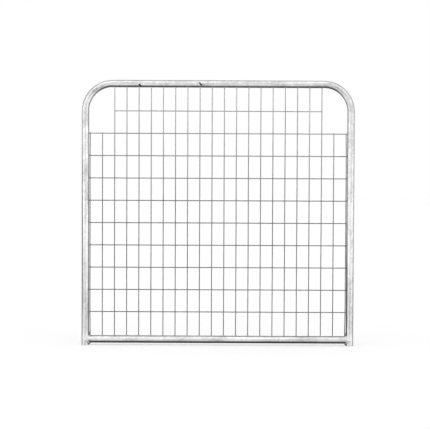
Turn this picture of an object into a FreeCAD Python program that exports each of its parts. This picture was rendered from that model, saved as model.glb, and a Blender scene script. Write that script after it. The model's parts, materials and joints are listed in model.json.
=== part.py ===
import FreeCAD, Part
import Sketcher
import math
import os

from FreeCAD import Placement, Rotation, Vector

# Garden gate leaf: a hoop bent from one steel tube, a bottom rail coped and welded between its legs,
# and welded wire mesh. X runs across the gate, Y through it (the front faces -Y) and Z up.
# The origin is midway between the legs, level with their open lower ends. Sizes are in millimetres.
# The hoop is made as three sub-parts that meet face to face where its bends begin: two legs and a bow.

DIMENSIONS = {
    "gate_width": 1220,  # over both legs
    "gate_height": 1188,  # from the leg ends to the top of the hoop
    "tube_diameter": 33.7,
    "tube_wall": 2.0,
    "bend_radius": 122,  # of the hoop's centreline
    "leg_stub": 10,  # how far the legs stand below the bottom rail
    "cope_gap": 0.15,  # between the rail's coped ends and the legs, under the weld
    "vent_diameter": 10,  # hole in each leg's wall through which zinc drains out of the rail
    "wire_diameter": 4.5,
    "wire_set_down": 0.6,  # how far crossing wires are pressed into each other
    "upright_pitch": 54.4,
    "cross_pitch": 100,
    "lowest_cross": 150,
    "wire_stub": 3.5,  # cut wire end, measured from the axis of the last wire it crosses
    "bead_radius": 7.5,  # section of the weld round each end of the bottom rail
    "bead_sink": 5,  # depth of that section's centre in the tubes, at the front and the back
    "tack_radius": 4,  # weld round each wire end
}

UPRIGHTS = 22
CROSS_WIRES = 10
CORNER_UPRIGHTS = 2  # at each side, left short to clear the hoop's bend
CORNER_CROSS_WIRES = 1  # at the top, left short for the same reason

# Expressions shared by several sub-parts
LEG_X = "((Sizes.gate_width - Sizes.tube_diameter) / 2)"
TUBE_RADIUS = "(Sizes.tube_diameter / 2)"
BORE_RADIUS = "(Sizes.tube_diameter / 2 - Sizes.tube_wall)"
LEG_LENGTH = "(Sizes.gate_height - Sizes.tube_diameter / 2 - Sizes.bend_radius)"
TOP_RAIL_Z = "(Sizes.gate_height - Sizes.tube_diameter / 2)"
TOP_RAIL_UNDERSIDE = "(Sizes.gate_height - Sizes.tube_diameter)"
BOTTOM_RAIL_Z = "(Sizes.leg_stub + Sizes.tube_diameter / 2)"
BOTTOM_RAIL_TOP = "(Sizes.leg_stub + Sizes.tube_diameter)"
CLEAR_WIDTH = "(Sizes.gate_width - 2 * Sizes.tube_diameter)"
WIRE_RADIUS = "(Sizes.wire_diameter / 2)"
WIRE_OFFSET = "((Sizes.wire_diameter - Sizes.wire_set_down) / 2)"  # axis to the mesh's middle plane

ALONG_X = Rotation(Vector(0, 1, 0), 90)  # turns a cylinder's axis from Z to X
ABOUT_FACE = Rotation(Vector(0, 0, 1), 180)  # turns a cylinder's seam from the right to the left

doc = FreeCAD.newDocument("garden_gate")
sizes = doc.addObject("Spreadsheet::Sheet", "Sizes")
subparts = []


def fill_sheet():
    for row, (alias, value) in enumerate(DIMENSIONS.items(), start=1):
        sizes.set(f"A{row}", alias)
        sizes.set(f"B{row}", str(value))
        sizes.setAlias(f"B{row}", alias)
    doc.recompute()


def size(alias):
    return float(sizes.get(alias))


def upright_x(number):
    return f"({number - (UPRIGHTS - 1) / 2} * Sizes.upright_pitch)"


def cross_z(number):
    return f"(Sizes.lowest_cross + {number} * Sizes.cross_pitch)"


def is_corner_upright(number):
    return number < CORNER_UPRIGHTS or number >= UPRIGHTS - CORNER_UPRIGHTS


def bind(feature, **expressions):
    """Bind a feature's properties; x, y and z stand for its position."""
    for name, expression in expressions.items():
        path = f"Placement.Base.{name}" if name in ("x", "y", "z") else name
        feature.setExpression(path, expression)


def finished(feature, label):
    """Keep a feature as the sub-part that its label names."""
    feature.Label = label
    subparts.append(feature)
    return feature


# ---------------------------------------------------------------- tube frame


def new_body(label):
    return finished(doc.addObject("PartDesign::Body", f"Body_{label}"), label)


def new_sketch(body, name, role):
    sketch = body.newObject("Sketcher::SketchObject", name)
    plane = next(f for f in body.Origin.OriginFeatures if f.Role == role)
    sketch.AttachmentSupport = [(plane, "")]
    sketch.MapMode = "FlatFace"
    return sketch


def dimension(sketch, name, expression, kind, *geometry):
    """Add a named dimension, bound to an expression."""
    value = sketch.evalExpression(expression)
    index = sketch.addConstraint(Sketcher.Constraint(kind, *geometry, value))
    sketch.renameConstraint(index, name)
    sketch.setExpression(f"Constraints.{name}", expression)


def add_circle(sketch, name, radius, offset=None, axis="x", side=1):
    """Add a circle centred on the sketch's origin, or at an offset to one side along an axis."""
    start = Vector(side, 0, 0) if axis == "x" else Vector(0, side, 0)
    circle = sketch.addGeometry(Part.Circle(start * 100, Vector(0, 0, 1), 10), False)
    centre, origin = (circle, 3), (-1, 1)
    dimension(sketch, f"{name}_radius", radius, "Radius", circle)
    if offset is None:
        sketch.addConstraint(Sketcher.Constraint("Coincident", *centre, *origin))
        return
    on_axis = -1 if axis == "x" else -2
    sketch.addConstraint(Sketcher.Constraint("PointOnObject", *centre, on_axis))
    ends = (*origin, *centre) if side > 0 else (*centre, *origin)
    kind = "DistanceX" if axis == "x" else "DistanceY"
    dimension(sketch, f"{name}_offset", offset, kind, *ends)


def add_tube_section(body, **placing):
    """A tube's section, on the plane across its axis."""
    section = new_sketch(body, f"Section_{body.Label}", placing.pop("role", "XY_Plane"))
    add_circle(section, "outside", TUBE_RADIUS, **placing)
    add_circle(section, "bore", BORE_RADIUS, **placing)
    return section


def make_left_leg():
    """A straight tube, open at its foot, with a vent into the end of the bottom rail."""
    body = new_body("left_leg")
    bind(body, x=f"-{LEG_X}")
    tube = body.newObject("PartDesign::Pad", "LegTube")
    tube.Profile = add_tube_section(body)
    bind(tube, Length=LEG_LENGTH)

    vent = new_sketch(body, "Vent", "YZ_Plane")
    add_circle(vent, "vent", "Sizes.vent_diameter / 2", BOTTOM_RAIL_Z, axis="y")
    doc.recompute()
    drilled = body.newObject("PartDesign::Pocket", "DrilledVent")
    drilled.Profile = vent
    drilled.Reversed = True  # towards the rail
    bind(drilled, Length="Sizes.tube_diameter")
    return body


def add_bow_path(sketch):
    """The bow's centreline: round the left bend, along the top rail and round the right bend."""
    leg = sketch.evalExpression(LEG_X)
    bend = size("bend_radius")
    inner = leg - bend
    normal, quarter = Vector(0, 0, 1), math.pi / 2
    path = [
        Part.ArcOfCircle(Part.Circle(Vector(-inner, 0, 0), normal, bend), quarter, 2 * quarter),
        Part.LineSegment(Vector(-inner, bend, 0), Vector(inner, bend, 0)),
        Part.ArcOfCircle(Part.Circle(Vector(inner, 0, 0), normal, bend), 0, quarter),
    ]
    left_bend, top_rail, right_bend = sketch.addGeometry(path, False)
    start, end, centre, x_axis = 1, 2, 3, -1
    rules = [
        ("Tangent", left_bend, start, top_rail, start),
        ("Tangent", top_rail, end, right_bend, end),
        ("Horizontal", top_rail),
        ("PointOnObject", left_bend, end, x_axis),
        ("PointOnObject", left_bend, centre, x_axis),
        ("PointOnObject", right_bend, start, x_axis),
        ("PointOnObject", right_bend, centre, x_axis),
    ]
    for rule in rules:
        sketch.addConstraint(Sketcher.Constraint(*rule))
    dimension(sketch, "bend", "Sizes.bend_radius", "Radius", left_bend)
    dimension(sketch, "left", LEG_X, "DistanceX", left_bend, end, -1, 1)
    dimension(sketch, "right", LEG_X, "DistanceX", -1, 1, right_bend, start)


def make_top_bow():
    """The hoop's two bends and the top rail between them."""
    body = new_body("top_bow")
    bind(body, z=LEG_LENGTH)
    section = add_tube_section(body, offset=LEG_X, side=-1)
    path = new_sketch(body, "BowPath", "XZ_Plane")
    add_bow_path(path)
    doc.recompute()
    tube = body.newObject("PartDesign::AdditivePipe", "BentTube")
    tube.Profile = section
    tube.Spine = path
    return body


def make_bottom_rail():
    """A straight tube of the hoop's size, its ends coped to the legs."""
    body = new_body("bottom_rail")
    bind(body, z=BOTTOM_RAIL_Z)
    tube = body.newObject("PartDesign::Pad", "RailTube")
    tube.Profile = add_tube_section(body, role="YZ_Plane")
    tube.SideType = "Symmetric"
    bind(tube, Length=f"2 * {LEG_X}")

    copes = new_sketch(body, "Copes", "XY_Plane")
    for name, side in (("left", -1), ("right", 1)):
        add_circle(copes, name, f"{TUBE_RADIUS} + Sizes.cope_gap", LEG_X, side=side)
    doc.recompute()
    coped = body.newObject("PartDesign::Pocket", "CopedEnds")
    coped.Profile = copes
    coped.SideType = "Symmetric"
    bind(coped, Length="2 * Sizes.tube_diameter")
    return body


def solid_rod(name, radius, length, rotation=Rotation(), **position):
    """A cylinder as large as a tube's outside, or a plain wire."""
    rod = doc.addObject("Part::Cylinder", name)
    rod.Placement = Placement(Vector(), rotation)
    bind(rod, Radius=radius, Height=length, **position)
    return rod


# ---------------------------------------------------------------- wire mesh


def make_upright(number):
    """A vertical wire. It stands on the bottom rail, in front of the cross wires."""
    label = f"mesh_upright_{number + 1:02d}"
    highest = cross_z(CROSS_WIRES - CORNER_CROSS_WIRES - 1)
    top = f"({highest} + Sizes.wire_stub)" if is_corner_upright(number) else TOP_RAIL_UNDERSIDE
    wire = solid_rod(
        f"Upright{number + 1}",
        WIRE_RADIUS,
        f"{top} - {BOTTOM_RAIL_TOP}",
        x=upright_x(number),
        y=f"-{WIRE_OFFSET}",
        z=BOTTOM_RAIL_TOP,
    )
    return finished(wire, label)


def make_cross_wire(number):
    """A horizontal wire. It reaches both legs, except at the top, where the bends are in its way."""
    label = f"mesh_cross_wire_{number + 1:02d}"
    length = CLEAR_WIDTH
    if number >= CROSS_WIRES - CORNER_CROSS_WIRES:
        spaces = UPRIGHTS - 1 - 2 * CORNER_UPRIGHTS
        length = f"({spaces} * Sizes.upright_pitch + 2 * Sizes.wire_stub)"
    wire = solid_rod(
        f"CrossWire{number + 1}",
        WIRE_RADIUS,
        length,
        ALONG_X,
        x=f"-{length} / 2",
        y=WIRE_OFFSET,
        z=cross_z(number),
    )
    return finished(wire, label)


# ---------------------------------------------------------------- welds


def cut_away(label, beads, neighbours):
    """Leave of the beads what lies outside their neighbours."""
    whole = doc.addObject("Part::MultiFuse", f"{label}_beads")
    whole.Shapes = beads
    around = doc.addObject("Part::MultiFuse", f"{label}_neighbours")
    around.Shapes = neighbours
    weld = doc.addObject("Part::Cut", f"{label}_weld")
    weld.Base = whole
    weld.Tool = around
    for feature in (whole, around, weld):
        feature.Refine = False  # merging the faces of a bead damages it
    return finished(weld, label)


def sphere(name, radius, position, rotation=Rotation()):
    x, y, z = position
    ball = doc.addObject("Part::Sphere", name)
    ball.Placement = Placement(Vector(), rotation)
    bind(ball, Radius=radius, x=x, y=y, z=z)
    return ball


def mirrored(label, source):
    """The same piece on the gate's other side."""
    other = doc.addObject("Part::Mirroring", f"{label}_mirror")
    other.Source = source
    other.Normal = Vector(1, 0, 0)
    return finished(other, label)


def make_left_rail_weld(leg_rod, rail_rod, edge_upright):
    """A bead along the saddle where the rail meets the left leg.

    Tubes of one diameter meet in two half ellipses, in planes at 45 degrees to both. The bead's centre
    follows them, but lies in the tubes by bead_sink at the front and the back, where the tubes are flush.
    """
    beads = []
    centre = f"-{LEG_X}"
    depth = f"({TUBE_RADIUS} - Sizes.bead_sink)"
    for half, turn in (("upper", 135), ("lower", 225)):
        path = doc.addObject("Part::Ellipse", f"{half}_saddle")
        path.Placement = Placement(Vector(), Rotation(Vector(0, 1, 0), turn))
        path.Angle1 = 90
        path.Angle2 = 270
        bind(path, MajorRadius=f"{TUBE_RADIUS} * sqrt(2)", MinorRadius=depth, x=centre, z=BOTTOM_RAIL_Z)
        section = doc.addObject("Part::Circle", f"{half}_section")
        section.Placement = Placement(Vector(), Rotation(Vector(0, 1, 0), turn - 90))
        bind(section, Radius="Sizes.bead_radius", x=centre, y=depth, z=BOTTOM_RAIL_Z)
        bead = doc.addObject("Part::Sweep", f"{half}_bead")
        bead.Sections = [section]
        bead.Spine = (path, ["Edge1"])
        bead.Solid = True
        bead.Frenet = True
        beads.append(bead)
    for face, sign in (("front", "-"), ("back", "")):
        apex = (centre, f"{sign}{depth}", BOTTOM_RAIL_Z)
        beads.append(sphere(f"{face}_apex", "Sizes.bead_radius", apex))
    return cut_away("left_rail_weld", beads, [leg_rod, rail_rod, edge_upright])


def make_wire_welds(label, rod, wires, points, along_wires=Rotation()):
    """A round weld where each wire's end meets a tube."""
    balls = [
        sphere(f"{label}_{number}", "Sizes.tack_radius", point, along_wires)
        for number, point in enumerate(points, start=1)
    ]
    return cut_away(label, balls, [rod, *wires])


# ---------------------------------------------------------------- assembly


def make_gate():
    mirrored("right_leg", make_left_leg())
    make_top_bow()
    make_bottom_rail()
    uprights = [make_upright(number) for number in range(UPRIGHTS)]
    cross_wires = [make_cross_wire(number) for number in range(CROSS_WIRES)]

    left_leg = solid_rod("left_leg_rod", TUBE_RADIUS, LEG_LENGTH, ABOUT_FACE, x=f"-{LEG_X}")
    rails = {
        name: solid_rod(f"{name}_rail_rod", TUBE_RADIUS, f"2 * {LEG_X}", ALONG_X, x=f"-{LEG_X}", z=z)
        for name, z in (("bottom", BOTTOM_RAIL_Z), ("top", TOP_RAIL_Z))
    }
    rail_weld = make_left_rail_weld(left_leg, rails["bottom"], uprights[0])
    mirrored("right_rail_weld", rail_weld)

    long_wires = cross_wires[: CROSS_WIRES - CORNER_CROSS_WIRES]
    points = [(f"-{CLEAR_WIDTH} / 2", WIRE_OFFSET, cross_z(n)) for n in range(len(long_wires))]
    leg_welds = make_wire_welds("left_leg_mesh_welds", left_leg, long_wires, points, ALONG_X)
    mirrored("right_leg_mesh_welds", leg_welds)

    inner = range(1, UPRIGHTS - 1)  # the rail's end welds take in the feet of the outermost wires
    points = [(upright_x(n), f"-{WIRE_OFFSET}", BOTTOM_RAIL_TOP) for n in inner]
    make_wire_welds("bottom_rail_mesh_welds", rails["bottom"], [uprights[n] for n in inner], points)

    tall = [n for n in range(UPRIGHTS) if not is_corner_upright(n)]
    points = [(upright_x(n), f"-{WIRE_OFFSET}", TOP_RAIL_UNDERSIDE) for n in tall]
    make_wire_welds("top_rail_mesh_welds", rails["top"], [uprights[n] for n in tall], points)


def check_document():
    for feature in doc.Objects:
        if {"Invalid", "Error"} & set(feature.State):
            raise RuntimeError(f"{feature.Label} failed: {feature.State}")
    for part in subparts:
        if part.Shape.isNull() or not part.Shape.isValid() or not part.Shape.Solids:
            raise RuntimeError(f"{part.Label} has no valid solid")


def check_tubes():
    """Compare each tube's volume with its section times its length, less what is cut away."""
    outside = size("tube_diameter") / 2
    section = math.pi * (outside**2 - (outside - size("tube_wall")) ** 2)
    leg = sizes.evalExpression(LEG_X)
    shoulder = sizes.evalExpression(LEG_LENGTH)
    bend = size("bend_radius")
    vent = math.pi * (size("vent_diameter") / 2) ** 2 * size("tube_wall")
    expected = {
        "left_leg": section * shoulder - vent,
        "right_leg": section * shoulder - vent,
        "top_bow": section * (2 * (leg - bend) + math.pi * bend),
    }
    volumes = {part.Label: part.Shape.Volume for part in subparts}
    for label, volume in expected.items():
        if abs(volumes[label] / volume - 1) > 0.0005:
            raise RuntimeError(f"{label}: {volumes[label]:.0f} mm3 in place of {volume:.0f}")
    if not 0.97 < volumes["bottom_rail"] / (section * 2 * leg) < 0.99:
        raise RuntimeError("bottom_rail isn't coped")


def export_subparts():
    os.makedirs("parts", exist_ok=True)
    for part in subparts:
        part.Shape.exportStep(f"parts/{part.Label}.step")


fill_sheet()
make_gate()
doc.recompute()
check_document()
check_tubes()
export_subparts()
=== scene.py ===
import json
import math
import random

import bmesh
import bpy
import numpy as np
from mathutils import Matrix, Quaternion, Vector


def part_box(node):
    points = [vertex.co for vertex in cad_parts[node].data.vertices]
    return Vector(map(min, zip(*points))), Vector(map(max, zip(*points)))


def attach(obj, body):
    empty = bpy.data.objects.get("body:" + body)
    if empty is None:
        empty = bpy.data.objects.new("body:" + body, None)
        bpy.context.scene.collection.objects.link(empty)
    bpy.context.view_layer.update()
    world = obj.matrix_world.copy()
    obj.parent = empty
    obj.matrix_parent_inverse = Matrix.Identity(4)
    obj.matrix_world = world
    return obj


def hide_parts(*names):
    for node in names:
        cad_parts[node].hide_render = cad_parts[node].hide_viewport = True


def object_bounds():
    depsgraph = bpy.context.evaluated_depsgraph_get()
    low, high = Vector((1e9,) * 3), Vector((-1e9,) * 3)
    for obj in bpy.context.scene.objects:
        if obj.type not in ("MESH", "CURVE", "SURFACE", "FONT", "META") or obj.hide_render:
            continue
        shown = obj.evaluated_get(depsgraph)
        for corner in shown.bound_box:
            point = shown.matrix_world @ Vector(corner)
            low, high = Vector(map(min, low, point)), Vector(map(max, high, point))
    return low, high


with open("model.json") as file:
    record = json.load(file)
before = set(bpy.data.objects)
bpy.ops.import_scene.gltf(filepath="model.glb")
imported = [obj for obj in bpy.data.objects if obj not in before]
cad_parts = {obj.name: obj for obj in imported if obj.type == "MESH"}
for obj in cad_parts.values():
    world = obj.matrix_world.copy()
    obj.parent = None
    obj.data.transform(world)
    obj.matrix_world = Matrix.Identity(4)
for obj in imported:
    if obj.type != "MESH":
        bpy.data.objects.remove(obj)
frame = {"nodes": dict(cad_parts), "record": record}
cad_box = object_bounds()

# Galvanised garden gate leaf. Lengths are in metres, angles in radians unless a name says otherwise.
# X runs across the gate, Y through it (the front faces -Y) and Z up.

MM = 0.001
UPRIGHTS = sum(name.startswith("mesh_upright_") for name in frame["nodes"])
CROSS_WIRES = sum(name.startswith("mesh_cross_wire_") for name in frame["nodes"])


def upright_node(number):
    return f"mesh_upright_{number:02d}"


def cross_wire_node(number):
    return f"mesh_cross_wire_{number:02d}"


def centre(node):
    low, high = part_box(node)
    return (low + high) / 2


def mount_dimension(mount_name, dimension):
    for mount in frame["record"]["mounts"]:
        if mount["name"] == mount_name:
            return mount["dims"][dimension] * MM


# Sizes of the tubes and wires, read from the frame
GATE_TOP = cad_box[1].z
LEG_X = centre("right_leg").x
BORE_RADIUS = mount_dimension("left_leg_socket", "r_mm")
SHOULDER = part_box("top_bow")[0].z  # height at which the bends begin
TUBE_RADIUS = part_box("bottom_rail")[1].y
TOP_RAIL_Z = GATE_TOP - TUBE_RADIUS
BEND_RADIUS = TOP_RAIL_Z - SHOULDER
BOTTOM_RAIL_Z = centre("bottom_rail").z
WIRE_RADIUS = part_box(upright_node(1))[1].x - centre(upright_node(1)).x
UPRIGHT_Y = centre(upright_node(1)).y
CROSS_Y = centre(cross_wire_node(1)).y

# Lengths along the hoop's centreline, from the left foot
BEND_LENGTH = BEND_RADIUS * math.pi / 2
TOP_LENGTH = 2 * (LEG_X - BEND_RADIUS)
HOOP_LENGTH = 2 * (SHOULDER + BEND_LENGTH) + TOP_LENGTH


# ---------------------------------------------------------------- mesh helpers


def grid_faces(rows, columns, closed=False):
    """Quads between rows of points, each row a ring. Where closed, the last row meets the first."""
    row = np.arange(rows if closed else rows - 1)[:, None]
    column = np.arange(columns)[None, :]
    next_row = (row + 1) % rows
    next_column = (column + 1) % columns
    corners = [
        row * columns + column,
        row * columns + next_column,
        next_row * columns + next_column,
        next_row * columns + column,
    ]
    return np.stack(corners, axis=-1).reshape(-1, 4).tolist()


def capped(rings):
    """A closed mesh from rings of points, with a flat face at each end."""
    rows, columns = rings.shape[:2]
    faces = grid_faces(rows, columns)
    faces.append(list(range(columns))[::-1])
    faces.append([(rows - 1) * columns + column for column in range(columns)])
    return rings.reshape(-1, 3), faces


def joined(meshes):
    """One mesh from several."""
    vertices, faces = [], []
    start = 0
    for points, polygons in meshes:
        vertices.append(points)
        faces += [[start + index for index in polygon] for polygon in polygons]
        start += len(points)
    return np.concatenate(vertices), faces


def dress(piece, material):
    """Give a piece its material and smooth shading."""
    piece.data.materials.clear()
    piece.data.materials.append(material)
    piece.data.shade_smooth()


def turn_faces_out(mesh):
    edited = bmesh.new()
    edited.from_mesh(mesh)
    bmesh.ops.recalc_face_normals(edited, faces=edited.faces)
    edited.to_mesh(mesh)
    edited.free()


def add_piece(name, mesh_data, material, replaced=(), unbent=None):
    """A piece of the gate. unbent holds each point's place on its tube, were the tube straight."""
    vertices, faces = mesh_data
    mesh = bpy.data.meshes.new(name)
    mesh.from_pydata(np.asarray(vertices).tolist(), [], faces)
    if unbent is None:
        unbent = vertices
    attribute = mesh.attributes.new("unbent", "FLOAT_VECTOR", "POINT")
    attribute.data.foreach_set("vector", np.asarray(unbent, np.float32).ravel())
    turn_faces_out(mesh)
    piece = bpy.data.objects.new(name, mesh)
    bpy.context.scene.collection.objects.link(piece)
    dress(piece, material)
    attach(piece, "root")
    if replaced:
        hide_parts(*replaced)
    return piece


def apply_modifier(piece, kind, **settings):
    modifier = piece.modifiers.new(kind, kind)
    for name, value in settings.items():
        setattr(modifier, name, value)
    evaluated = piece.evaluated_get(bpy.context.evaluated_depsgraph_get())
    mesh = bpy.data.meshes.new_from_object(evaluated)
    piece.modifiers.clear()
    piece.data = mesh


def island_of(start):
    """All the faces joined to one face through edges that only two faces share."""
    found, waiting = {start}, [start]
    while waiting:
        edges = [edge for edge in waiting.pop().edges if len(edge.link_faces) == 2]
        for other in (face for edge in edges for face in edge.link_faces):
            if other not in found:
                found.add(other)
                waiting.append(other)
    return found


TOUCHING = 0.01 * MM


def keep_largest_island(mesh):
    """Merge points that all but touch, and delete the slivers that trimming leaves."""
    edited = bmesh.new()
    edited.from_mesh(mesh)
    bmesh.ops.remove_doubles(edited, verts=edited.verts, dist=TOUCHING)
    bmesh.ops.triangulate(edited, faces=edited.faces)
    left, largest = set(edited.faces), set()
    while left:
        island = island_of(next(iter(left)))
        left -= island
        largest = max(largest, island, key=len)
    bmesh.ops.delete(edited, geom=[face for face in edited.faces if face not in largest], context="FACES")
    bmesh.ops.recalc_face_normals(edited, faces=edited.faces)
    edited.to_mesh(mesh)
    edited.free()


def waves(count, seed):
    """A smooth function of two numbers, between about -1 and 1, as a sum of sine waves."""
    draw = random.Random(seed)
    terms = [
        (draw.uniform(-1, 1), draw.uniform(-1, 1), draw.uniform(0, math.tau), draw.uniform(0.5, 1))
        for _ in range(count)
    ]
    total = sum(weight for *_, weight in terms)

    def value(a, b):
        return sum(w * np.sin(a * p + b * q + phase) for p, q, phase, w in terms) / total * 1.6

    return value


# ---------------------------------------------------------------- tubes

RING_POINTS = 72
AROUND = np.linspace(0, math.tau, RING_POINTS, endpoint=False)
RAIL_PATTERN_START = 5  # along the pattern of the zinc, so that the bottom rail's differs from the hoop's


def coated_radius(along, broad_seed, fine_seed):
    """A tube's outer radius at each ring point, with broad and fine unevenness in its zinc."""
    s, a = along[:, None], AROUND[None, :]
    uneven = waves(9, broad_seed)(s / (60 * MM), a * 2) + waves(7, fine_seed)(s / (14 * MM), a * 4)
    return TUBE_RADIUS - 0.035 * MM * (1.8 + uneven)


def hoop_line(along):
    """Points on the hoop's centreline and the outward direction there, for distances from the left foot."""
    along = np.asarray(along, float)
    flipped = along > HOOP_LENGTH / 2
    half = np.where(flipped, HOOP_LENGTH - along, along)
    angle = np.clip((half - SHOULDER) / BEND_RADIUS, 0, math.pi / 2)
    past = np.clip(half - SHOULDER - BEND_LENGTH, 0, None)
    outward = np.stack([-np.cos(angle), np.zeros_like(angle), np.sin(angle)], -1)
    line = outward * BEND_RADIUS
    line[:, 0] += past - (LEG_X - BEND_RADIUS)
    line[:, 2] += np.where(half < SHOULDER, half, SHOULDER)
    side = np.where(flipped, -1, 1)
    line[:, 0] *= side
    outward[:, 0] *= side
    return line, outward


def hoop_points(along, radius, around=AROUND):
    """Points at each distance along the hoop and angle around it, and their places were it straight."""
    line, outward = hoop_line(along)
    spoke = np.cos(around)[..., None] * outward[:, None, :]
    spoke = spoke + np.sin(around)[..., None] * np.array([0, 1, 0])
    points = line[:, None, :] + radius[..., None] * spoke
    straight = np.repeat(np.asarray(along)[:, None], radius.shape[1], 1)
    unbent = np.stack([straight, radius * np.cos(around), radius * np.sin(around)], -1)
    return points, unbent


def bend_share(along):
    """1 in the hoop's bends and 0 in its straight runs, with a soft change."""
    half = np.where(along > HOOP_LENGTH / 2, HOOP_LENGTH - along, along)
    inside = (half - SHOULDER) * (SHOULDER + BEND_LENGTH - half)
    return np.clip(0.5 + inside / (BEND_LENGTH * 16 * MM), 0, 1)


def hoop_radius(along):
    """The hoop's outer radius at each ring point, a little flattened and creased in the bends."""
    s, a = along[:, None], AROUND[None, :]
    bend = bend_share(along)[:, None]
    flattened = 0.5 * MM * bend * np.cos(a) ** 2
    creased = 0.06 * MM * bend * np.clip(-np.cos(a + 0.5), 0, 1) * (1 + np.sin(s / (2.6 * MM)))
    return coated_radius(along, 3, 4) - flattened - creased


def lip(foot_side):
    """Radius and height of the rings over the cut end of a leg, from the outside to the bore."""
    profile = [
        (TUBE_RADIUS - 0.10 * MM, 1.2 * MM),
        (TUBE_RADIUS - 0.28 * MM, 0.35 * MM),
        (TUBE_RADIUS - 0.65 * MM, 0),
        (BORE_RADIUS + 0.55 * MM, 0),
        (BORE_RADIUS + 0.15 * MM, 0.3 * MM),
        (BORE_RADIUS, 1.1 * MM),
    ]
    return profile if foot_side == "right" else profile[::-1]


def hoop_stations(straight_step, bend_step, margin):
    """Distances along the hoop, closer together in the bends."""
    runs = [
        (margin, SHOULDER, straight_step),
        (SHOULDER, SHOULDER + BEND_LENGTH, bend_step),
        (SHOULDER + BEND_LENGTH, SHOULDER + BEND_LENGTH + TOP_LENGTH, straight_step),
        (SHOULDER + BEND_LENGTH + TOP_LENGTH, HOOP_LENGTH - SHOULDER, bend_step),
        (HOOP_LENGTH - SHOULDER, HOOP_LENGTH - margin, straight_step),
    ]
    stations = [
        np.linspace(start, end, max(2, round((end - start) / step)), endpoint=False)
        for start, end, step in runs
    ]
    return np.concatenate([*stations, [HOOP_LENGTH - margin]])


def make_hoop(material):
    """The gate's outer tube: up the left leg, over the top and down the right leg."""
    outside = hoop_stations(straight_step=6 * MM, bend_step=2.2 * MM, margin=3 * MM)
    inside = hoop_stations(straight_step=40 * MM, bend_step=9 * MM, margin=3 * MM)[::-1]
    right_lip, left_lip = lip("right"), lip("left")
    along = np.concatenate([
        outside,
        [HOOP_LENGTH - height for _, height in right_lip],
        inside,
        [height for _, height in left_lip],
    ])
    radius = np.concatenate([
        hoop_radius(outside),
        np.repeat([[r] for r, _ in right_lip], RING_POINTS, 1),
        np.full((len(inside), RING_POINTS), BORE_RADIUS),
        np.repeat([[r] for r, _ in left_lip], RING_POINTS, 1),
    ])
    points, unbent = hoop_points(along, radius)
    faces = grid_faces(len(along), RING_POINTS, closed=True)
    add_piece(
        "bent_hoop",
        (points.reshape(-1, 3), faces),
        material,
        ["left_leg", "right_leg", "top_bow"],
        unbent.reshape(-1, 3),
    )


def cope(radius):
    """Half the bottom rail's length at each ring point, where its end all but meets a leg."""
    across = radius * np.sin(AROUND)
    gap = 0.15 * MM
    return LEG_X - np.sqrt((TUBE_RADIUS + gap) ** 2 - across**2)


def make_bottom_rail(material):
    """A straight tube, coped to the legs."""
    outer_rows, inner_rows = 220, 30
    outer = np.linspace(-1, 1, outer_rows)
    inner = np.linspace(1, -1, inner_rows)
    radius = np.concatenate([
        coated_radius(outer * LEG_X, 5, 6),
        np.full((inner_rows, RING_POINTS), BORE_RADIUS),
    ])
    x = np.concatenate([
        outer[:, None] * cope(TUBE_RADIUS)[None, :],
        inner[:, None] * cope(BORE_RADIUS)[None, :],
    ])
    y = radius * np.sin(AROUND)
    z = radius * np.cos(AROUND)
    points = np.stack([x, y, BOTTOM_RAIL_Z + z], -1)
    unbent = np.stack([x + RAIL_PATTERN_START, z, y], -1)
    faces = grid_faces(len(radius), RING_POINTS, closed=True)
    add_piece(
        "lower_rail",
        (points.reshape(-1, 3), faces),
        material,
        ["bottom_rail"],
        unbent.reshape(-1, 3),
    )


# ---------------------------------------------------------------- marks and lumps in the zinc


def top_rail_along(x):
    """Distance along the hoop of a place on the top rail."""
    return SHOULDER + BEND_LENGTH + x + LEG_X - BEND_RADIUS


def bend_along(side, degrees):
    """Distance along the hoop of a place in a bend, by its angle above the leg."""
    half = SHOULDER + BEND_RADIUS * math.radians(degrees)
    return half if side == "left" else HOOP_LENGTH - half


def top_rail_spots(rows):
    """Each row's place along the hoop and the rest of it. A row begins with an upright and mm from it."""
    for upright, offset, *rest in rows:
        yield top_rail_along(centre(upright_node(upright)).x + offset * MM), rest


def zinc_lump(along, rise, length, width, height, draw, back=False):
    """A lump of zinc on the hoop, rise outward from its centreline: its mesh and unbent places."""
    middle = math.copysign(math.acos(rise / TUBE_RADIUS), 1 if back else -1)
    turn = np.linspace(0, math.tau, 20, endpoint=False)
    ragged = 1 + 0.26 * waves(6, draw.randrange(10000))(turn * 2, 0)
    sink = 0.25 * MM
    points, unbent = [], []
    for level in np.linspace(0, 1, 7):
        reach = ragged * math.sqrt(1 - (0.97 * level) ** 2)
        out = TUBE_RADIUS - sink + (height + sink) * level
        places = along + length * reach * np.cos(turn)
        around = middle + width * reach * np.sin(turn) / TUBE_RADIUS
        radius = np.full((len(turn), 1), out)
        ring, straight = hoop_points(places, radius, around[:, None])
        points.append(ring[:, 0])
        unbent.append(straight[:, 0])
    return capped(np.array(points)), np.array(unbent).reshape(-1, 3)


def seen_lumps():
    """The lumps beside the scars, placed from an upright, and one on the right leg.

    Each has its place along the hoop, then its rise, half length, half width and height in mm.
    """
    on_rail = [
        (5, -19, -2.5, 3.0, 2.0, 0.28),
        (5, 1, 1.5, 3.8, 1.8, 0.28),
        (5, 12, -3.0, 2.4, 2.2, 0.3),
        (5, 20, 0.0, 1.8, 3.6, 0.28),
        (10, -4, -5.0, 2.6, 1.8, 0.3),
        (10, 0, 9.2, 2.0, 2.2, 0.28),
    ]
    lumps = [(HOOP_LENGTH - 834 * MM, -8.0, 4.5, 2.6, 1.4)]
    lumps += [(along, *sizes) for along, sizes in top_rail_spots(on_rail)]
    return lumps


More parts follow.
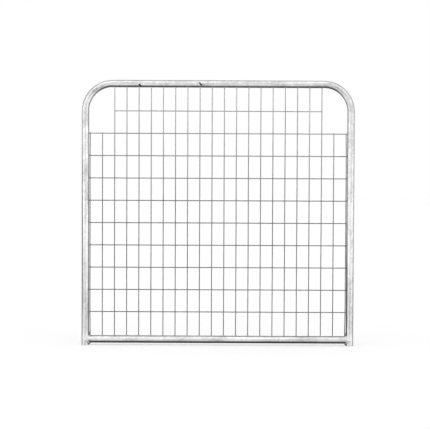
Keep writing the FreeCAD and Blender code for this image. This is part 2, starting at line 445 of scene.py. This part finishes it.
def runs_and_drips(draw):
    """Runs on the inner side of the legs and drips under the top rail, as seen_lumps lists its lumps."""
    lumps = []
    for number in range(18):
        height = draw.uniform(60 * MM, SHOULDER)
        along = height if number % 2 else HOOP_LENGTH - height
        lumps.append((along, draw.uniform(-15.5, -2), draw.uniform(3, 11), draw.uniform(0.7, 1.5),
                      draw.uniform(0.25, 0.7)))
    for _ in range(12):
        along = top_rail_along(draw.uniform(-0.95, 0.95) * (LEG_X - BEND_RADIUS))
        lumps.append((along, draw.uniform(-16.4, -14), draw.uniform(1.2, 2.4), draw.uniform(1, 1.8),
                      draw.uniform(0.5, 1.5)))
    return lumps


def make_zinc_lumps(material):
    draw = random.Random(71)
    seen = seen_lumps()
    built = []
    for number, (along, *sizes) in enumerate(seen + runs_and_drips(draw)):
        back = number >= len(seen) and draw.random() < 0.4
        built.append(zinc_lump(along, *(size * MM for size in sizes), draw, back))
    shape = joined([lump for lump, _ in built])
    unbent = np.concatenate([places for _, places in built])
    add_piece("zinc_lumps", shape, material, unbent=unbent)


# Tones of the marks in the hoop's zinc: bare scars, dull patches and a painted highlight
BARE, DULL, PAINTED_HIGHLIGHT = 0.012, 0.3, 1.0


def hoop_mark(along, rise, half_length, half_width, tone, strength):
    """A mark on the hoop's front, in unbent coordinates. rise, half_length and half_width are in mm."""
    rise *= MM
    front = -math.sqrt(TUBE_RADIUS**2 - rise**2)
    half_size = (half_length * MM, half_width * MM, half_width * MM)
    return (along, rise, front), half_size, tone, strength


def hoop_marks():
    """Two bare scars on the top rail with painted highlights round them, patches in the bends and two
    streaks of painted shade.

    A mark on the rail is placed from an upright and one in a bend by side and angle. Then come its rise,
    half length and half width in mm, its tone on the rail, and its strength.
    """
    # The rows in the brightest tone are painted highlights on and beside the lumps round the scars
    on_rail = [
        (5, -19, -2.5, 3.2, 2.4, PAINTED_HIGHLIGHT, 0.7),
        (5, 1, 2.0, 4.0, 2.4, PAINTED_HIGHLIGHT, 0.7),
        (5, 12, -3.0, 3.0, 3.0, PAINTED_HIGHLIGHT, 0.8),
        (5, 20, -1.0, 2.4, 5.0, PAINTED_HIGHLIGHT, 0.8),
        (10, -4, -5.6, 3.2, 2.4, PAINTED_HIGHLIGHT, 0.8),
        (10, -19, -4.5, 4.0, 2.6, PAINTED_HIGHLIGHT, 0.7),
        (10, 0, 9.8, 2.6, 2.2, PAINTED_HIGHLIGHT, 0.8),
        (5, -14, -4.0, 2.2, 3.6, DULL, 0.8),
        (5, -12, -10.0, 3.2, 2.2, DULL, 0.8),
        (10, 14, -5.2, 8.0, 2.0, DULL, 0.9),
        (18, -9, -1.8, 10.0, 1.2, DULL, 0.6),
        (5, 2.2, -5.2, 5.6, 4.6, BARE, 1.0),
        (5, 7.5, -9.5, 5.4, 3.0, BARE, 1.0),
        (10, -1.6, 3.4, 3.6, 4.4, BARE, 1.0),
        (10, 1.8, -1.5, 3.4, 3.8, BARE, 1.0),
        (10, 5.2, -5.0, 4.8, 3.8, BARE, 1.0),
    ]
    in_bends = [
        ("left", 49, -2.5, 19.0, 6.5, 0.55),
        ("left", 46, -1.0, 7.0, 5.5, 0.4),
        ("left", 55, -3.0, 8.0, 5.0, 0.35),
        ("left", 66, -4.5, 12.0, 4.5, 0.45),
        ("left", 73, -1.0, 3.0, 2.5, 0.5),
        ("right", 62, -1.0, 12.0, 2.4, 0.6),
        ("right", 48, -2.5, 15.0, 3.0, 0.5),
    ]
    marks = [hoop_mark(along, *rest) for along, rest in top_rail_spots(on_rail)]
    for side, degrees, *sizes, strength in in_bends:
        marks.append(hoop_mark(bend_along(side, degrees), *sizes, DULL, strength))
    # Painted shade: long dark streaks low on the inner side of the right leg and the outer side of the left
    # leg
    painted_shade_inside_right_leg = hoop_mark(HOOP_LENGTH - 200 * MM, -14.5, 300, 5.5, 0.05, 0.75)
    painted_shade_outside_left_leg = hoop_mark(410 * MM, 12, 380, 5, 0.14, 0.6)
    return [*marks, painted_shade_inside_right_leg, painted_shade_outside_left_leg]


# ---------------------------------------------------------------- wire mesh


EDGE_WIRE_BOW = {-1: 1.2 * MM, 1: 1.7 * MM}  # of the left and the right one


def edge_bow(node, height):
    """How far an edge wire bows towards its leg at a height: nothing at its ends, or for other wires."""
    low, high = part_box(node)
    if node not in (upright_node(1), upright_node(UPRIGHTS)):
        return 0 * height
    from_end = np.minimum(height - low.z, high.z - height)
    share = np.clip(from_end / (160 * MM), 0, 1)
    side = math.copysign(1, low.x)
    return side * EDGE_WIRE_BOW[side] * np.sin(share * math.pi / 2)


def wire_stations(length):
    """Distances along a wire, closer together at its sheared ends, and the share of its radius at each."""
    steps = round(length / (9 * MM))
    along = np.concatenate([
        [0, 0.15 * MM, 0.6 * MM],
        np.linspace(4 * MM, length - 4 * MM, steps),
        [length - 0.6 * MM, length - 0.15 * MM, length],
    ])
    share = np.ones(len(along))
    share[:3] = (0.8, 0.94, 1)
    share[-3:] = (1, 0.94, 0.8)
    return along, share


def make_wire(name, node, material, seed):
    """A nearly straight wire with a lightly uneven coat of zinc."""
    low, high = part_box(node)
    upright = high.z - low.z > high.x - low.x
    length = high.z - low.z if upright else high.x - low.x
    along, share = wire_stations(length)
    around = np.linspace(0, math.tau, 16, endpoint=False)
    s, a = along[:, None], around[None, :]
    coat = 0.05 * MM * waves(8, seed)(s / (11 * MM), a * 2)
    radius = WIRE_RADIUS * share[:, None] - 0.04 * MM + np.minimum(coat, 0.04 * MM)
    sway = [0.16 * MM * waves(4, seed + extra)(along / (70 * MM), 0) for extra in (50, 90)]
    fade = np.clip(np.minimum(along, length - along) / (30 * MM), 0, 1)
    first = radius * np.cos(a) + (sway[0] * fade)[:, None]
    second = radius * np.sin(a) + (sway[1] * fade)[:, None]
    middle = centre(node)
    run = np.repeat(s, len(around), 1)
    if upright:
        first += edge_bow(node, low.z + along)[:, None]
        points = np.stack([middle.x + first, middle.y + second, low.z + run], -1)
    else:
        points = np.stack([low.x + run, middle.y + first, middle.z + second], -1)
    unbent = np.stack([run + seed, first, second], -1)
    add_piece(name, capped(points), material, [node], unbent.reshape(-1, 3))


def make_wires(material):
    for number in range(1, UPRIGHTS + 1):
        make_wire(f"upright_wire_{number:02d}", upright_node(number), material, 100 + number)
    for number in range(1, CROSS_WIRES + 1):
        make_wire(f"cross_wire_{number:02d}", cross_wire_node(number), material, 200 + number)


def crossing_weld(x, z, draw):
    """The thin pad of metal and zinc squeezed out where an upright is welded to a cross wire."""
    around = np.linspace(0, math.tau, 16, endpoint=False)
    rows = np.linspace(-1, 1, 7)
    reach = (2.15 + 0.75 * np.abs(np.sin(2 * around)) ** 1.5) * draw.uniform(0.9, 1.15) * MM
    uneven = 1 + 0.12 * np.array([draw.uniform(-1, 1) for _ in around])
    rings = []
    for row in rows:
        width = math.sqrt(1 - (0.93 * row) ** 2)
        rings.append(np.stack([
            x + reach * uneven * width * np.cos(around),
            np.full(len(around), row * 1.25 * MM),
            z + reach * uneven * width * np.sin(around),
        ], -1))
    return capped(np.array(rings))


def crossings():
    """Middle of each place where an upright crosses a cross wire."""
    for upright in map(upright_node, range(1, UPRIGHTS + 1)):
        low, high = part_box(upright)
        x = centre(upright).x
        for cross_wire in map(cross_wire_node, range(1, CROSS_WIRES + 1)):
            z = centre(cross_wire).z
            if low.z < z < high.z and abs(x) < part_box(cross_wire)[1].x:
                yield x + edge_bow(upright, z), z


def make_crossing_welds(material):
    draw = random.Random(17)
    pads = [crossing_weld(x, z, draw) for x, z in crossings()]
    add_piece("crossing_welds", joined(pads), material)


# ---------------------------------------------------------------- welds to the tubes

SIDES = (("left", -1), ("right", 1))
BEAD_RADIUS = 7.35 * MM
BEAD_SINK = 5.0 * MM  # of a bead's middle below the surfaces that it joins, at the front and back
RIPPLE = 2.3 * MM

# Radius and height in mm of a wire end's weld, from under the tube's surface to the wire
TACK_PROFILE = [(4.1, -0.7), (4.2, -0.1), (3.95, 0.6), (3.5, 1.5), (3.05, 2.4), (2.6, 3.2), (2.05, 3.7)]


def tack(base, rise, side, wire_y, draw):
    """A weld round a wire's end. rise points from the tube along the wire, side across it."""
    around = np.linspace(0, math.tau, 18, endpoint=False)
    lump = waves(5, draw.randrange(10000))
    size = draw.uniform(0.86, 1.08)
    lean = draw.uniform(-0.35, 0.35) * MM
    surface = math.sqrt(TUBE_RADIUS**2 - wire_y**2)
    rings = []
    for step, (radius, height) in enumerate(TACK_PROFILE):
        risen = step / len(TACK_PROFILE)
        uneven = 0.16 * lump(around * 2, step / 2.2) * (1 - risen)
        reach = radius * MM * (size + uneven)
        y = wire_y + reach * np.cos(around)
        across = reach * np.sin(around) + lean * risen
        dip = np.sqrt(TUBE_RADIUS**2 - y**2) - surface
        out = height * MM * size + dip
        ring = np.outer(out, rise) + np.outer(across, side)
        ring += np.array(base)
        ring[:, 1] = y
        rings.append(ring)
    return capped(np.array(rings))


def make_leg_tacks(material):
    """Welds of the cross wires' ends to the legs."""
    leg_wall = LEG_X - math.sqrt(TUBE_RADIUS**2 - CROSS_Y**2)
    for side, sign in SIDES:
        draw = random.Random(31 + sign)
        tacks = []
        for node in map(cross_wire_node, range(1, CROSS_WIRES + 1)):
            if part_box(node)[1].x > leg_wall - TUBE_RADIUS:
                base = (sign * leg_wall, 0, centre(node).z)
                tacks.append(tack(base, (-sign, 0, 0), (0, 0, 1), CROSS_Y, draw))
        name = f"{side}_leg_wire_welds"
        add_piece(name, joined(tacks), material, [f"{side}_leg_mesh_welds"])


def make_rail_tacks(material):
    """Welds of the uprights' ends to the two rails."""
    rise = math.sqrt(TUBE_RADIUS**2 - UPRIGHT_Y**2)
    for rail, rail_z, sign in (("bottom", BOTTOM_RAIL_Z, 1), ("top", TOP_RAIL_Z, -1)):
        draw = random.Random(47 + sign)
        tacks = []
        for number in range(1, UPRIGHTS + 1):
            node = upright_node(number)
            meets_rail = number not in (1, UPRIGHTS) if rail == "bottom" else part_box(node)[1].z > SHOULDER
            if meets_rail:
                base = (centre(node).x, 0, rail_z + sign * rise)
                tacks.append(tack(base, (0, 0, sign), (1, 0, 0), UPRIGHT_Y, draw))
        name = f"{rail}_rail_wire_welds"
        add_piece(name, joined(tacks), material, [f"{rail}_rail_mesh_welds"])


def unit(vectors):
    return vectors / np.linalg.norm(vectors, axis=1)[:, None]


def saddle_bead(sign, half, seed):
    """A rippled bead over the upper or lower half of the joint between a leg and the bottom rail."""
    turn = np.linspace(-math.pi / 2, math.pi / 2, 170)
    around = np.linspace(0, math.tau, 28, endpoint=False)
    up = 1 if half == "upper" else -1
    path = np.stack([
        sign * (LEG_X - TUBE_RADIUS * np.cos(turn)),
        (TUBE_RADIUS - BEAD_SINK) * np.sin(turn),
        BOTTOM_RAIL_Z + up * TUBE_RADIUS * np.cos(turn),
    ], -1)
    flat = np.repeat([np.array([sign, 0, up]) / math.sqrt(2)], len(turn), 0)
    outward = unit(np.cross(unit(np.gradient(path, axis=0)), flat))
    length = np.concatenate([[0], np.cumsum(np.linalg.norm(np.diff(path, axis=0), axis=1))])
    ripple = np.abs(np.sin(math.pi * length / RIPPLE + waves(4, seed)(length / (9 * MM), 0)))
    uneven = waves(6, seed + 1)(length[:, None] / (7 * MM), around[None, :])
    radius = BEAD_RADIUS - 0.3 * MM * (1 - ripple[:, None]) - 0.35 * MM * (1 - uneven)
    spoke = np.cos(around)[None, :, None] * flat[:, None, :]
    spoke = spoke + np.sin(around)[None, :, None] * outward[:, None, :]
    return capped(path[:, None, :] + radius[..., None] * spoke)


def corner_fillet(sign):
    """The hollow fillet of zinc between a leg, the top of the bottom rail and the foot of the edge wire."""
    along_rail, up_leg, sink = 12.5 * MM, 20 * MM, 2.5 * MM
    top_reach, top_half_width, foot_half_width = 1.6 * MM, 1.2 * MM, 6 * MM
    turn = np.linspace(0, math.tau, 28, endpoint=False)
    rings = []
    for angle in np.radians(np.linspace(96, 8, 24)):
        widened = 1 - math.cos(angle)
        reach = top_reach + (along_rail - top_reach) * widened
        half_width = top_half_width + (foot_half_width - top_half_width) * widened
        height = BOTTOM_RAIL_Z + TUBE_RADIUS - sink + (up_leg + sink) * (1 - math.sin(angle))
        rings.append(np.stack([
            sign * (LEG_X - TUBE_RADIUS - reach * np.cos(turn)),
            UPRIGHT_Y + half_width * np.sin(turn),
            np.full(len(turn), height),
        ], -1))
    tip = rings[-1].mean(axis=0)
    rings.append(tip + (rings[-1] - tip) * 0.35 + (0, 0, 1.2 * MM))
    return capped(np.array(rings))


def cutter(name, radius, length, rotation, place):
    """A solid rod that trims a weld at the wall of a tube."""
    around = np.linspace(0, math.tau, 96, endpoint=False)
    ring = np.stack([radius * np.cos(around), radius * np.sin(around), 0 * around], -1)
    rings = np.array([ring + (0, 0, -length / 2), ring + (0, 0, length / 2)])
    vertices, faces = capped(rings)
    mesh = bpy.data.meshes.new(name)
    mesh.from_pydata(vertices.tolist(), [], faces)
    rod = bpy.data.objects.new(name, mesh)
    mesh.transform(Matrix.Translation(place) @ rotation.to_matrix().to_4x4())
    bpy.context.scene.collection.objects.link(rod)
    return rod


def make_rail_weld(side, sign, material):
    """The weld round one end of the bottom rail: two half beads and a fillet, merged into one body."""
    seed = 60 + sign * 5
    parts = [saddle_bead(sign, "upper", seed), saddle_bead(sign, "lower", seed + 1), corner_fillet(sign)]
    name = f"{side}_rail_bead"
    bead = add_piece(name, joined(parts), material, [f"{side}_rail_weld"])
    apply_modifier(bead, "REMESH", mode="VOXEL", voxel_size=0.42 * MM)
    apply_modifier(bead, "SMOOTH", factor=0.5, iterations=4)
    wall = TUBE_RADIUS - 0.5 * MM
    rod_length = 200 * MM
    leg_place = Vector((sign * LEG_X, 0, BOTTOM_RAIL_Z))
    rail_place = Vector((sign * (LEG_X - rod_length / 2), 0, BOTTOM_RAIL_Z))
    rods = [
        cutter("leg_rod", wall, rod_length, Quaternion(), leg_place),
        cutter("rail_rod", wall, rod_length, Quaternion((0, 1, 0), math.pi / 2), rail_place),
    ]
    for rod in rods:
        apply_modifier(bead, "BOOLEAN", operation="DIFFERENCE", object=rod, solver="EXACT")
        bpy.data.objects.remove(rod)
    keep_largest_island(bead.data)
    count = len(bead.data.vertices)
    places = np.empty(count * 3, np.float32)
    bead.data.vertices.foreach_get("co", places)
    if "unbent" not in bead.data.attributes:
        bead.data.attributes.new("unbent", "FLOAT_VECTOR", "POINT")
    bead.data.attributes["unbent"].data.foreach_set("vector", places)
    dress(bead, material)


# ---------------------------------------------------------------- materials


def new_material(name):
    material = bpy.data.materials.new(name)
    material.use_nodes = True
    tree = material.node_tree
    return material, tree, tree.nodes["Principled BSDF"]


def add_node(tree, kind, inputs=None, **settings):
    """Add a node. inputs maps a socket's name or number to a value or to another node's output."""
    added = tree.nodes.new(kind)
    for name, value in settings.items():
        setattr(added, name, value)
    for name, value in (inputs or {}).items():
        socket = added.inputs[name]
        if isinstance(value, bpy.types.NodeSocket):
            tree.links.new(value, socket)
        else:
            socket.default_value = value
    return added


def math_node(tree, operation, first, second):
    return add_node(tree, "ShaderNodeMath", {0: first, 1: second}, operation=operation).outputs[0]


def stretched(tree, coordinates, scale):
    """Coordinates scaled along and across a tube or wire."""
    return add_node(tree, "ShaderNodeMapping", {"Vector": coordinates, "Scale": scale}).outputs[0]


def noise_node(tree, vector, scale, detail, rough=0.5):
    inputs = {"Vector": vector, "Scale": scale, "Detail": detail, "Roughness": rough}
    return add_node(tree, "ShaderNodeTexNoise", inputs).outputs[0]


def spread(tree, value, low, high, new_low, new_high):
    """Map a value from one range to another, smoothly, and clamp it."""
    inputs = {"Value": value, 1: low, 2: high, 3: new_low, 4: new_high}
    return add_node(tree, "ShaderNodeMapRange", inputs, interpolation_type="SMOOTHSTEP").outputs[0]


def multiply_add(tree, value, factor, offset):
    inputs = {0: value, 1: factor, 2: offset}
    return add_node(tree, "ShaderNodeMath", inputs, operation="MULTIPLY_ADD").outputs[0]


def vector_node(tree, operation, first, second):
    return add_node(tree, "ShaderNodeVectorMath", {0: first, 1: second}, operation=operation)


def mixed(tree, share, first, second):
    """A colour between two others, each four numbers or another node's output."""
    return add_node(tree, "ShaderNodeMix", {0: share, 6: first, 7: second}, data_type="RGBA").outputs[2]


def grey(value):
    return (value, value, value, 1)


def ragged_place(tree, place, scale, reach):
    """A place moved by noise, by up to reach along each axis, which makes what is drawn there ragged."""
    noise = add_node(tree, "ShaderNodeTexNoise", {"Vector": place, "Scale": scale, "Detail": 3.0})
    offset = vector_node(tree, "MULTIPLY", noise.outputs["Color"], (reach, reach, reach)).outputs[0]
    return vector_node(tree, "ADD", place, offset).outputs[0]


def crystal_tone(tree, place, size):
    """A random tone for each zinc crystal, with ragged borders and small crystals among the large ones."""
    moved = ragged_place(tree, place, 1.6 / size, size)
    large = add_node(tree, "ShaderNodeTexVoronoi", {"Vector": moved, "Scale": 1 / size}).outputs["Color"]
    small = add_node(tree, "ShaderNodeTexVoronoi", {"Vector": moved, "Scale": 2.4 / size}).outputs["Color"]
    tones = [add_node(tree, "ShaderNodeSeparateColor", {0: colour}).outputs[0] for colour in (large, small)]
    return multiply_add(tree, tones[0], 0.65, math_node(tree, "MULTIPLY", tones[1], 0.35))


def marked(tree, place, colour, marks):
    """A colour with ragged marks over it."""
    raggedness = 3 * MM
    moved = ragged_place(tree, place, 0.35 / MM, raggedness)
    for middle, half_size, tone, strength in marks:
        moved_middle = [value + raggedness / 2 for value in middle]
        away = vector_node(tree, "SUBTRACT", moved, moved_middle).outputs[0]
        reach = vector_node(tree, "DIVIDE", away, half_size).outputs[0]
        length = add_node(tree, "ShaderNodeVectorMath", {0: reach}, operation="LENGTH").outputs["Value"]
        colour = mixed(tree, spread(tree, length, 0.6, 1.25, strength, 0.0), colour, grey(tone))
    return colour


def share_at_height(tree, height, stops):
    """A share that changes evenly from stop to stop. Each stop is a height and the share there."""
    ramp = add_node(tree, "ShaderNodeValToRGB", {0: math_node(tree, "DIVIDE", height, GATE_TOP)})
    elements = ramp.color_ramp.elements
    while len(elements) < len(stops):
        elements.new(0.5)
    for element, (stop, share) in zip(elements, stops):
        element.position = stop / GATE_TOP
        element.color = grey(share)
    return ramp.outputs[0]


def painted_side_shade(tree, place, height, colour, side, start, stops):
    """Paint shade along one side of a tube, 1 for the outer or upper and -1 for the inner or lower one.

    start is the share of the radius at which it begins, and stops hold what is left at the edge by height.
    """
    painted_shade = mixed(tree, share_at_height(tree, height, stops), grey(0), colour)
    across = add_node(tree, "ShaderNodeSeparateXYZ", {0: place}).outputs[1]
    share = spread(tree, across, side * TUBE_RADIUS, side * start * TUBE_RADIUS, 0.0, 1.0)
    return mixed(tree, share, painted_shade, colour)


def zinc_material(name, tones, crystal_size, mottle_size, gloss, bump, fade, sides=(), marks=()):
    """Hot-dip zinc: crystals and cloudy patches of differing tone and gloss, streaks along it, and pits.

    tones and gloss hold the tone and roughness of its dullest and brightest crystals. fade lists heights
    with the share of its brightness at each, which paints shade by height. sides paint shade along one
    side of a tube, and sides and marks are as the side-shading function and marked take them.
    """
    material, tree, shader = new_material(name)
    place = add_node(tree, "ShaderNodeAttribute", attribute_name="unbent").outputs["Vector"]
    crystal = crystal_tone(tree, place, crystal_size)
    mottle = noise_node(tree, stretched(tree, place, (0.35, 1, 1)), 1 / mottle_size, 5.0, 0.62)
    streak = noise_node(tree, stretched(tree, place, (4.0, 300.0, 300.0)), 1.0, 3.0, 0.6)
    tone = multiply_add(tree, crystal, 0.3, -0.15)
    tone = multiply_add(tree, mottle, 1.0, tone)
    tone = multiply_add(tree, streak, 1.3, tone)
    share = spread(tree, tone, 0.55, 1.55, 0.0, 1.0)
    colour = mixed(tree, share, grey(tones[0]), grey(tones[1]))
    position = add_node(tree, "ShaderNodeTexCoord").outputs["Object"]
    height = add_node(tree, "ShaderNodeSeparateXYZ", {0: position}).outputs[2]
    # Painted shade by height, as fade lists it
    colour = mixed(tree, share_at_height(tree, height, fade), grey(0), colour)
    # Painted shade along one side of the tube, for each entry in sides
    for side, start, stops in sides:
        colour = painted_side_shade(tree, place, height, colour, side, start, stops)
    pit_noise = noise_node(tree, place, 0.34 / MM, 2.0)
    pits = spread(tree, pit_noise, 0.70, 0.78, 0.0, 0.5)
    colour = mixed(tree, pits, colour, grey(0.12))
    if marks:
        colour = marked(tree, place, colour, marks)
    tree.links.new(colour, shader.inputs["Base Color"])
    shine = spread(tree, tone, 0.6, 1.7, gloss[0], gloss[1])
    tree.links.new(shine, shader.inputs["Roughness"])
    fine = noise_node(tree, place, 0.5 / MM, 4.0, 0.6)
    relief = multiply_add(tree, mottle, 1.5, fine)
    inputs = {"Strength": bump, "Distance": 0.25 * MM, "Height": relief}
    normal = add_node(tree, "ShaderNodeBump", inputs).outputs[0]
    tree.links.new(normal, shader.inputs["Normal"])
    shader.inputs["Metallic"].default_value = 0.9
    return material


TUBE_ZINC = {
    "tones": (0.41, 0.99),
    "crystal_size": 11 * MM,
    "mottle_size": 30 * MM,
    "gloss": (0.4, 0.27),
    "bump": 0.2,
}


def hoop_material():
    """The hoop's zinc, with painted shade along the inner side, along the legs' outer sides, near the foot
    and at the top.
    """
    foot = [(0, 0.76), (0.03, 0.93), (0.045, 0.93), (0.08, 0.76), (0.16, 0.82)]
    fade = [*foot, (0.4, 1), (1, 1), (1.14, 0.88)]
    inner = [(0.1, 0.3), (0.35, 0.42), (0.6, 0.68), (1.0, 0.72), (1.1, 0.42)]
    outer = [(0.1, 0.36), (0.55, 0.36), (0.8, 0.5), (1.0, 1.0)]
    sides = [(-1, 0.7, inner), (1, 0.8, outer)]
    return zinc_material("galvanised_hoop", **TUBE_ZINC, fade=fade, sides=sides, marks=hoop_marks())


def rail_material():
    """The bottom rail's zinc, with painted shade over its lower half and along its top."""
    sides = [(-1, -0.2, [(0, 0.09), (1, 0.09)]), (1, 0.75, [(0, 0.33), (1, 0.33)])]
    return zinc_material("galvanised_rail", **TUBE_ZINC, fade=[(0, 0.93), (1, 0.93)], sides=sides)


def wire_material():
    """The wires' zinc, with painted shade that makes it darker lower down."""
    fade = [(0.1, 0.42), (0.6, 0.43), (0.9, 0.64), (1.12, 0.98)]
    return zinc_material("galvanised_wire", (0.3, 0.62), 5 * MM, 14 * MM, (0.5, 0.36), 0.3, fade)


def weld_material():
    """The welds' zinc, with painted shade under the bottom rail and just above it."""
    fade = [(0.004, 0.3), (0.026, 1), (0.04, 1), (0.046, 0.35), (0.064, 0.35), (0.08, 1)]
    return zinc_material("galvanised_weld", (0.42, 0.95), 4 * MM, 7 * MM, (0.42, 0.28), 0.3, fade)


# ---------------------------------------------------------------- studio

CAMERA_DISTANCE = 6.0
CAMERA_PITCH = math.radians(2.0)
CAMERA_ROLL = math.radians(0.25)
FRAME_WIDTH = 1.926  # across the picture, at the gate
AIM_X = -12.9 * MM
AIM_Z = 586 * MM


def make_camera():
    data = bpy.data.cameras.new("camera")
    data.lens = data.sensor_width * CAMERA_DISTANCE / FRAME_WIDTH
    data.clip_end = 100
    camera = bpy.data.objects.new("camera", data)
    back = Vector((0, -math.cos(CAMERA_PITCH), math.sin(CAMERA_PITCH)))
    camera.location = Vector((AIM_X, 0, AIM_Z)) + back * CAMERA_DISTANCE
    facing = (-back).to_track_quat("-Z", "Y")
    camera.rotation_mode = "QUATERNION"
    camera.rotation_quaternion = facing @ Quaternion((0, 0, 1), CAMERA_ROLL)
    bpy.context.scene.collection.objects.link(camera)
    bpy.context.scene.camera = camera


def make_floor():
    """A plain pale floor. It isn't reflected in the gate, and throws no light on it."""
    size = 30
    mesh = bpy.data.meshes.new("floor")
    corners = [(-size, -size, 0), (size, -size, 0), (size, size, 0), (-size, size, 0)]
    mesh.from_pydata(corners, [], [(0, 1, 2, 3)])
    floor = bpy.data.objects.new("floor", mesh)
    material, _, shader = new_material("floor_paper")
    shader.inputs["Base Color"].default_value = grey(0.5)
    shader.inputs["Roughness"].default_value = 0.9
    shader.inputs["Specular IOR Level"].default_value = 0.1
    mesh.materials.append(material)
    bpy.context.scene.collection.objects.link(floor)
    floor.visible_glossy = False
    floor.visible_diffuse = False


def make_world():
    """A white backdrop for the camera. What the metal reflects is bright in front and dimmer behind.

    It dips straight in front, brightens again straight behind and is nearly black straight below.
    """
    world = bpy.data.worlds.new("studio")
    world.use_nodes = True
    bpy.context.scene.world = world
    tree = world.node_tree
    background = tree.nodes["Background"]
    direction = add_node(tree, "ShaderNodeTexCoord").outputs["Generated"]
    axes = add_node(tree, "ShaderNodeSeparateXYZ", {0: direction}).outputs
    front = spread(tree, axes[1], -0.4, 0.6, 1.25, 0.2)
    dip = spread(tree, axes[1], -1.0, -0.7, 0.72, 1.0)
    behind = spread(tree, axes[1], 0.55, 0.95, 0.0, 0.8)
    above = spread(tree, axes[2], -1.0, -0.5, 0.08, 1.0)
    light = multiply_add(tree, front, dip, behind)
    light = math_node(tree, "MULTIPLY", light, above)
    seen = add_node(tree, "ShaderNodeLightPath").outputs["Is Camera Ray"]
    strength = add_node(tree, "ShaderNodeMix", {0: seen, 2: light, 3: 1.0}, data_type="FLOAT").outputs[0]
    tree.links.new(strength, background.inputs["Strength"])
    background.inputs["Color"].default_value = (1, 1, 1, 1)


def make_sun():
    """Wide soft light from above, which whitens the floor."""
    data = bpy.data.lights.new("overhead", "SUN")
    data.energy = 3.86
    data.angle = math.radians(70)
    sun = bpy.data.objects.new("overhead", data)
    sun.rotation_euler = (math.radians(12), math.radians(-8), 0)
    sun.visible_glossy = False
    data.use_shadow = False
    bpy.context.scene.collection.objects.link(sun)


def make_studio():
    make_camera()
    make_floor()
    make_world()
    make_sun()
    bpy.context.scene.view_settings.view_transform = "Standard"


# ---------------------------------------------------------------- gate


def make_gate():
    hoop, wire, weld = hoop_material(), wire_material(), weld_material()
    make_hoop(hoop)
    make_bottom_rail(rail_material())
    make_zinc_lumps(hoop)
    make_wires(wire)
    make_crossing_welds(wire)
    make_leg_tacks(weld)
    make_rail_tacks(weld)
    for side, sign in SIDES:
        make_rail_weld(side, sign, weld)


make_gate()
make_studio()
